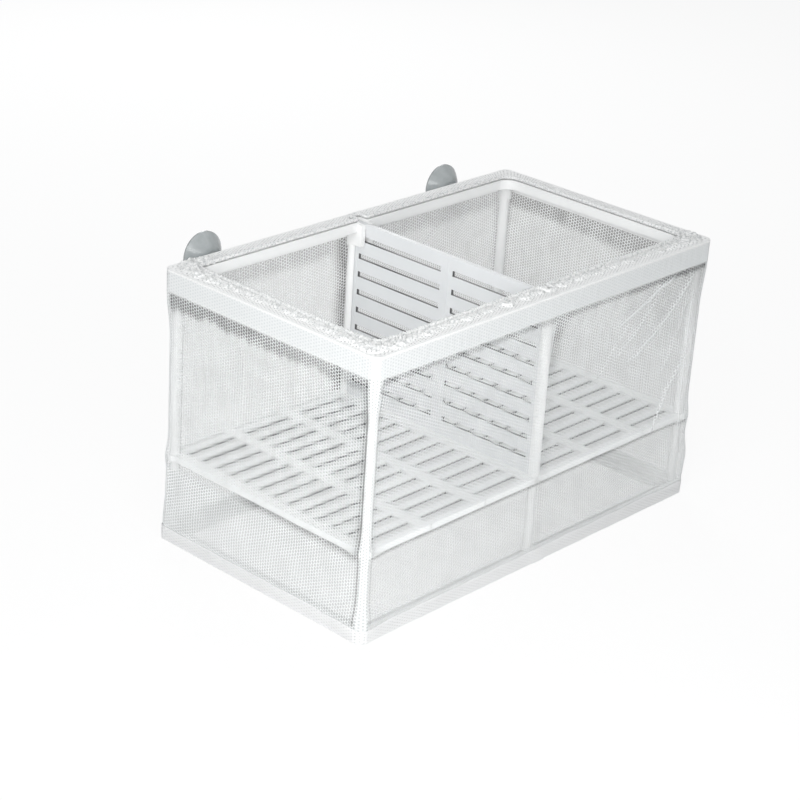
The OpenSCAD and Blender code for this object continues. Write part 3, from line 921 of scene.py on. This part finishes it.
flat = (2 * (w + edge) * mm, 2 * (d + edge) * mm)
print("net floor made")


# the hem over the rim, gathered on its elastic

hemSize = {
    "cordX": 121.7,
    "cordY": 64.2,
    "cordZ": 155.35,
    "cordRadius": 0.7,
    "bendRadius": 8.0,
    "detourX": 3.4,
    "detourY": 70.6,
    "detourBend": 1.6,
    "tunnelRadius": 1.0,
    "flatLength": 826,
    "flatWidth": 17,
    "ruffleWidth": 6.2,
    "ruffleFade": 2.4,
    "ruffleHeight": 1.25,
    "ruffleSway": 0.55,
    "speckle": 0.26,
    "stitchFromEdge": 3.3,
    "stitchDent": 0.26,
    "overEdge": ((0.32, 153.2), (0.42, 153.8), (0.34, 154.25), (0.1, 154.42)),
    "edgeStep": 0.7,
    "overRim": 0.42,
    "columns": 1800,
    "rowsAcross": 24,
    "roundTheCord": (150, 120, 90, 60, 30, 0, -30, -55),
    "cordStep": 0.55,
    "clothPerLength": 1.18,
    "clothPerWidth": 1.1,
    "elasticSides": 10,
}
# how much the gathers are crumpled
crumpleSize = {
    "least": 0.16,
    "most": 1.45,
    "frontAndLeft": 0.85,
    "corners": 0.45,
    "cornerAt": (117, 60),
    "cornerReach": 15,
    "quietAtGuides": 0.9,
    "guideReach": 5,
}


bendX, bendY = hemSize["cordX"] - hemSize["bendRadius"], hemSize["cordY"] - hemSize["bendRadius"]


# the bend from the guide's side to the long side, which turns the other way
def cordInnerBend():
    b = hemSize["detourBend"]
    points, normals = arc((hemSize["detourX"] + b, hemSize["cordY"] + b), b, 180, 270, 9)
    return points, -normals


# a quarter of the elastic's route, from the middle of the back to the middle of the right
def cordQuarter():
    h = hemSize
    b = h["detourBend"]
    return joined([
        straight((0, h["detourY"]), (h["detourX"] - b, h["detourY"]), (0, 1), 5),
        arc((h["detourX"] - b, h["detourY"] - b), b, 90, 0, 9),
        straight((h["detourX"], h["detourY"] - b), (h["detourX"], h["cordY"] + b), (1, 0), 9),
        cordInnerBend(),
        straight((h["detourX"] + b, h["cordY"]), (bendX, h["cordY"]), (0, 1), 190),
        arc((bendX, bendY), h["bendRadius"], 90, 0, 26),
        straight((h["cordX"], bendY), (h["cordX"], 0), (1, 0), 100),
    ])


# the other three quarters are mirror images
def fullLoop(points, normals):
    mirrored = []
    for sx, sy, backwards in ((1, 1, False), (1, -1, True), (-1, -1, False), (-1, 1, True)):
        p, n = points * (sx, sy), normals * (sx, sy)
        if backwards:
            p, n = p[::-1], n[::-1]
        mirrored.append((p[:-1], n[:-1]))
    return np.concatenate([m[0] for m in mirrored]), np.concatenate([m[1] for m in mirrored])


cordPoints, cordNormals, cordLength = cordQuarter()
# where each point of the cord has its line to the outside of the rim
outerPoints, outerNormals, outerLength = joined([
    straight((0, d), (flatX, d), (0, 1), 260),
    arc((flatX, flatY), r, 90, 0, 14),
    straight((w, flatY), (w, 0), (1, 0), 142),
])
# places along the cord, each with the place on the outside that it matches
guideEnd = hemSize["detourX"] + hemSize["detourBend"]
pastGuide = cordLength[np.argmax(cordPoints[:, 0] >= guideEnd - 1e-6)]
bendStart = cordLength[np.argmax(cordPoints[:, 0] > bendX + 0.01) - 1]
bendEnd = cordLength[np.argmax(cordPoints[:, 1] < bendY - 0.01) - 1]
cordFull, outerFull = cordLength[-1], outerLength[-1]
matches = (
    (0, 0),
    (pastGuide, 6.5),
    (pastGuide + 9, 14),
    (pastGuide + 85, 90),
    (bendStart, 121),
    (bendEnd, outerFull - flatY + 8),
    (cordFull - 36, outerFull - 36),
    (cordFull, outerFull),
)
matched = np.interp(cordLength, *zip(*matches))
outerAt = np.stack([np.interp(matched, outerLength, outerPoints[:, k]) for k in (0, 1)], -1)
outerOut = np.stack([np.interp(matched, outerLength, outerNormals[:, k]) for k in (0, 1)], -1)
outerOut /= np.linalg.norm(outerOut, axis=1)[:, None]

loopCord, loopOut = fullLoop(cordPoints, cordNormals)
loopEdge, loopEdgeOut = fullLoop(outerAt, outerOut)
loopLength = np.concatenate([[0], np.cumsum(np.linalg.norm(np.diff(loopCord, axis=0), axis=1))])
loopTotal = loopLength[-1] + np.linalg.norm(loopCord[0] - loopCord[-1])
# even columns, a little under half a millimetre apart
columns = np.linspace(0, loopTotal, hemSize["columns"], endpoint=False)


def spread(values):
    closedLength = np.append(loopLength, loopTotal)
    closedValues = np.vstack([values, values[:1]])
    return np.stack([np.interp(columns, closedLength, closedValues[:, k]) for k in (0, 1)], -1)


cordAt, cordOut = spread(loopCord), spread(loopOut)
edgeAt, edgeOut = spread(loopEdge), spread(loopEdgeOut)
cordOut /= np.linalg.norm(cordOut, axis=1)[:, None]
edgeOut /= np.linalg.norm(edgeOut, axis=1)[:, None]

# much crumpled on the left, the front and three corners, little on the back and right, and
# drawn flat where the cord goes round the divider's guides
onFront = ease((-cordAt[:, 1] - 40) / 16) * (1 - 0.35 * ease((cordAt[:, 0] - 10) / 80))
onLeft = ease((-cordAt[:, 0] - 90) / 18)
cornerX, cornerY = crumpleSize["cornerAt"]
fromCorner = np.hypot(np.abs(cordAt[:, 0]) - cornerX, np.abs(cordAt[:, 1]) - cornerY)
corners = swell(fromCorner, 0, crumpleSize["cornerReach"])
corners = corners * ((cordAt[:, 0] < 0) | (cordAt[:, 1] < 0))
crumple = crumpleSize["least"] + crumpleSize["frontAndLeft"] * np.maximum(onFront, onLeft)
crumple = np.clip(crumple + crumpleSize["corners"] * corners, 0, crumpleSize["most"])
quiet = np.exp(-((np.abs(cordAt[:, 0]) / crumpleSize["guideReach"]) ** 4)) * (np.abs(cordAt[:, 1]) > 60)
crumple = crumple * (1 - crumpleSize["quietAtGuides"] * quiet)


# how bunched the strip is at a distance from the cord, how high it stands and how far it sways
def gathersAt(fromCord, share):
    reach = hemSize["ruffleWidth"] * (1 + 0.9 * corners + 0.12 * ripple(columns, 0, 16, 5, 38))
    bunched = ease((reach - fromCord) / hemSize["ruffleFade"]) * crumple
    # thin ridges wander along the strip, with small gathers and fine crumples between them
    wandering = fromCord + 0.5 * ripple(columns, 0, 22, 7, 29)
    ridges = 1 - np.abs(ripple(columns * 0.3, wandering, 4.4, 2.3, 31))
    gathers = 1 - np.abs(ripple(columns, fromCord * 0.4, 4.2, 2.0, 32))
    fine = ripple(columns, fromCord, 2.8, 1.3, 33, 16)
    patches = 0.75 + 0.25 * ripple(columns, fromCord, 30, 12, 30)
    folds = np.clip((0.7 * ridges + 0.4 * gathers) * patches + 0.3, 0, 2.0)
    lift = hemSize["ruffleHeight"] * bunched * folds
    lift = lift + hemSize["speckle"] * (0.3 + bunched) * np.clip(fine + 1.2, 0, 3)
    lift = lift * ease((1 - share) * 6 + 0.35) * (1 - 0.6 * quiet)
    dent = hemSize["stitchDent"] * swell(fromCord, hemSize["stitchFromEdge"], 0.5)
    lift = lift - dent * (1 - 0.6 * np.minimum(crumple, 1))
    sway = hemSize["ruffleSway"] * bunched * ripple(columns, fromCord, 5.0, 2.2, 34)
    return bunched, lift, sway


tunnel = hemSize["tunnelRadius"]
hemRows, hemMap, hemBunched = [], [], []
# down over the rim's edge
for step, (outward, z) in enumerate(hemSize["overEdge"]):
    hemRows.append(np.column_stack([edgeAt + edgeOut * outward, np.full(len(columns), z)]))
    hemMap.append(-3.0 + step * hemSize["edgeStep"])
    hemBunched.append(np.full(len(columns), 0.2))
# across the rim's top to the cord
shares = np.linspace(0, 1, hemSize["rowsAcross"])
topZ = box["height"] + hemSize["overRim"]
footAt = cordAt + cordOut * tunnel
width = np.linalg.norm(edgeAt - footAt, axis=1)
tangent = np.stack([-edgeOut[:, 1], edgeOut[:, 0]], -1)
for share in shares[1:]:
    flat = edgeAt * (1 - share) + footAt * share
    inward = share * width
    fromCord = width - inward
    bunched, lift, sway = gathersAt(fromCord, share)
    hemRows.append(np.column_stack([flat + tangent * sway[:, None], topZ + lift * ease(share * 8)]))
    hemMap.append(inward.mean())
    hemBunched.append(np.clip(bunched + ease((3.0 - fromCord) / 1.5), 0.1, 1))
# round the cord, loosely
lastLift = hemRows[-1][:, 2] - topZ
for angle in hemSize["roundTheCord"]:
    a = math.radians(angle)
    swellOut = tunnel * (1 + 0.30 * crumple * ripple(columns, angle / 20.0, 3.6, 1.5, 35, 14))
    swellOut = np.clip(swellOut, hemSize["cordRadius"] + 0.12, 1.8)
    keep = max(0.0, math.sin(a)) * 0.5
    at = cordAt - cordOut * (math.cos(a) * swellOut)[:, None]
    hemRows.append(np.column_stack([at, hemSize["cordZ"] + math.sin(a) * swellOut + keep * lastLift]))
    hemMap.append(hemMap[-1] + hemSize["cordStep"])
    hemBunched.append(np.ones(len(columns)))
hemGrid = np.stack(hemRows)
mapping = np.zeros(hemGrid.shape[:2] + (2,))
mapping[..., 0] = columns[None, :] * hemSize["clothPerLength"]
mapping[..., 1] = np.array(hemMap)[:, None] * hemSize["clothPerWidth"]
ruffled = np.stack(hemBunched)
hemOpen = 0.3 * ripple(columns, 0, 20, 5, 36)[None, :] - 8.0 * ruffled
hemOpen[:6] = -9.0  # no holes along the rim's edge
netHem = clothPiece("netHem", hemGrid, mapping, hemOpen, hemKnit, closed=True, veil=0.8 * (1 - ruffled))
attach(netHem, "box")
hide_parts("net_hem")

# the elastic inside it
ringAngles = np.radians(np.arange(0, 360, 360 // hemSize["elasticSides"]))
elasticRows = []
for angle in np.append(ringAngles, ringAngles[0]):
    flat = cordAt + cordOut * (math.cos(angle) * hemSize["cordRadius"])
    ringZ = hemSize["cordZ"] + math.sin(angle) * hemSize["cordRadius"]
    elasticRows.append(np.column_stack([flat, np.full(len(columns), ringZ)]))
elasticGrid = np.stack(elasticRows)[:, ::2]
elasticMap = np.zeros(elasticGrid.shape[:2] + (2,))
elasticMap[..., 0] = columns[None, ::2]
elasticMap[..., 1] = np.linspace(0, 2 * math.pi * hemSize["cordRadius"], len(elasticRows))[:, None]
hemElastic = clothPiece("hemElastic", elasticGrid, elasticMap, 0.0, elasticCover, closed=True)
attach(hemElastic, "box")
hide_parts("hem_elastic")
flat = (hemSize["flatLength"] * mm, hemSize["flatWidth"] * mm)
print("hem made")


# the folded seam round the bottom, its ends lapped at the front

seamSize = {"low": 0.35, "high": 8.1, "lap": 7.0, "lapOut": 0.55, "gap": 0.22, "fold": 0.2}
seamPoints, seamNormals, seamLength = joined([
    straight((0, -d), (flatX, -d), (0, -1), 70),
    arc((flatX, -flatY), r, -90, 0, 9),
    straight((w, -flatY), (w, flatY), (1, 0), 72),
    arc((flatX, flatY), r, 0, 90, 9),
    straight((flatX, d), (-flatX, d), (0, 1), 130),
    arc((-flatX, flatY), r, 90, 180, 9),
    straight((-w, flatY), (-w, -flatY), (-1, 0), 72),
    arc((-flatX, -flatY), r, 180, 270, 9),
    straight((-flatX, -d), (seamSize["lap"], -d), (0, -1), 76),
])
sx, sy = seamPoints[:, 0], seamPoints[:, 1]
lapped = ease((seamLength - seamLength[-1] + seamSize["lap"] + 3) / 3)
seamRows, seamMap = [], []
fold = seamSize["fold"]
ply = [(z, fold) for z in np.linspace(seamSize["low"], seamSize["high"] - 0.3, 7)]
ply += [(seamSize["high"], 0.7 * fold), (seamSize["high"] + 0.06, 0.3 * fold), (seamSize["high"] - 0.15, 0.0)]
ply += [(z, 0.0) for z in np.linspace(seamSize["high"] - 1, 1.0, 5)]
run = 0.0
for number, (z, outward) in enumerate(ply):
    wave = 0.10 * ripple(seamLength, z, 26, 7, 41) + 0.06 * ripple(seamLength, z, 9, 3, 42)
    out = netShape(sx, sy, np.full(len(sx), z)) + seamSize["gap"] + outward
    out = out + seamSize["lapOut"] * lapped + 0.04 + np.maximum(wave, -0.05)
    edge = 0.25 * ripple(seamLength, 0, 30, 8, 43) * ease((z - 5) / 3)
    seamRows.append(np.column_stack([seamPoints + seamNormals * out[:, None], np.full(len(sx), z) + edge]))
    if number:
        run += abs(z - ply[number - 1][0]) + abs(outward - ply[number - 1][1])
    seamMap.append(run)
seamGrid = np.stack(seamRows)
mapping = np.zeros(seamGrid.shape[:2] + (2,))
mapping[..., 0] = seamLength[None, :]
mapping[..., 1] = np.array(seamMap)[:, None]
seamOpen = 0.1 + 0.15 * ripple(seamLength, 0, 30, 8, 44)[None, :]
bottomSeam = clothPiece("bottomSeam", seamGrid, mapping, seamOpen, seamKnit)
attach(bottomSeam, "box")
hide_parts("net_bottom_seam")
print("bottom seam made")


# floor, light and background

studio = {
    "world": 0.36,
    "worldColour": (0.95, 0.98, 1.0),
    # how dark the backdrop and the floor are painted where they are seen through the net: painted shade
    "worldShadeThroughNet": 0.74,
    "floorLeft": 0.97,
    "floorShadeRight": 0.66,
    "fadeFrom": -0.10,
    "fadeTo": 0.34,
    "floorGlow": 0.88,
    "floorColour": (0.93, 0.93, 0.93),
    "floorHalf": 8,
    "lampsLookAt": (0, 0, 0.08),
}
# each soft lamp's place, power and size
lamps = {
    "keyLight": ((-0.92, -0.36, 0.70), 4.9, 0.6),
    "fillLight": ((-0.38, -0.42, 0.26), 2.05, 0.35),
    "backLight": ((0.60, 0.90, 0.60), 4.5, 0.6),
    "topLight": ((0.14, 0.0, 0.95), 0.9, 0.6),
}


# rays of the picture, and how many of them have come through the net
def pictureRay(tree):
    path = addNode(tree, "ShaderNodeLightPath")
    seen = calc(tree, "MAXIMUM", path.outputs["Is Camera Ray"], path.outputs["Is Glossy Ray"])
    seen = calc(tree, "MAXIMUM", seen, path.outputs["Is Transmission Ray"])
    return seen, calc(tree, "MINIMUM", path.outputs["Transparent Depth"], 1.0)


world = bpy.data.worlds.new("studioWorld")
bpy.context.scene.world = world
world.use_nodes = True
tree = world.node_tree
tree.nodes.clear()
seen, behind = pictureRay(tree)
# the backdrop seen through the net is painted darker: painted shade
tone = remap(tree, behind, 0.0, 1.0, 1.0, studio["worldShadeThroughNet"])
lightInputs = {"Color": (*studio["worldColour"], 1), "Strength": studio["world"]}
light = addNode(tree, "ShaderNodeBackground", lightInputs)
picture = addNode(tree, "ShaderNodeBackground", {"Color": (1, 1, 1, 1), "Strength": tone})
both = mixShaders(tree, seen, light.outputs[0], picture.outputs[0])
addNode(tree, "ShaderNodeOutputWorld", {"Surface": both})

floorMat, tree = newMaterial("paleFloor")
seen, behind = pictureRay(tree)
# through the net the floor is white on the left and falls to a painted grey on the right: painted shade
fade = (studio["fadeFrom"], studio["fadeTo"], studio["floorLeft"], studio["floorShadeRight"])
floorShadeThroughNet = remap(tree, splitAxes(tree, objectPlace(tree))["X"], *fade, True)
tone = remap(tree, behind, 0.0, 1.0, 1.0, floorShadeThroughNet)
matt = addNode(tree, "ShaderNodeBsdfDiffuse", {"Color": (*studio["floorColour"], 1)})
glow = addNode(tree, "ShaderNodeEmission", {"Strength": tone})
glowing = calc(tree, "MULTIPLY", seen, studio["floorGlow"])
both = mixShaders(tree, glowing, matt.outputs[0], glow.outputs[0])
addNode(tree, "ShaderNodeOutputMaterial", {"Surface": both})
floorMesh = bpy.data.meshes.new("floor")
f = studio["floorHalf"]
floorMesh.from_pydata([(-f, -f, 0), (f, -f, 0), (f, f, 0), (-f, f, 0)], [], [(0, 1, 2, 3)])
floorMesh.materials.append(floorMat)
floor = bpy.data.objects.new("floor", floorMesh)
bpy.context.scene.collection.objects.link(floor)


def softLight(name, place, power, size):
    data = bpy.data.lights.new(name, "AREA")
    data.energy = power
    data.size = size
    lamp = bpy.data.objects.new(name, data)
    lamp.location = place
    aim = Vector(studio["lampsLookAt"]) - Vector(place)
    lamp.rotation_euler = aim.to_track_quat("-Z", "Y").to_euler()
    bpy.context.scene.collection.objects.link(lamp)


for lampName, (lampPlace, power, size) in lamps.items():
    softLight(lampName, lampPlace, power, size)
bpy.context.scene.view_settings.view_transform = "Standard"
print("studio made")
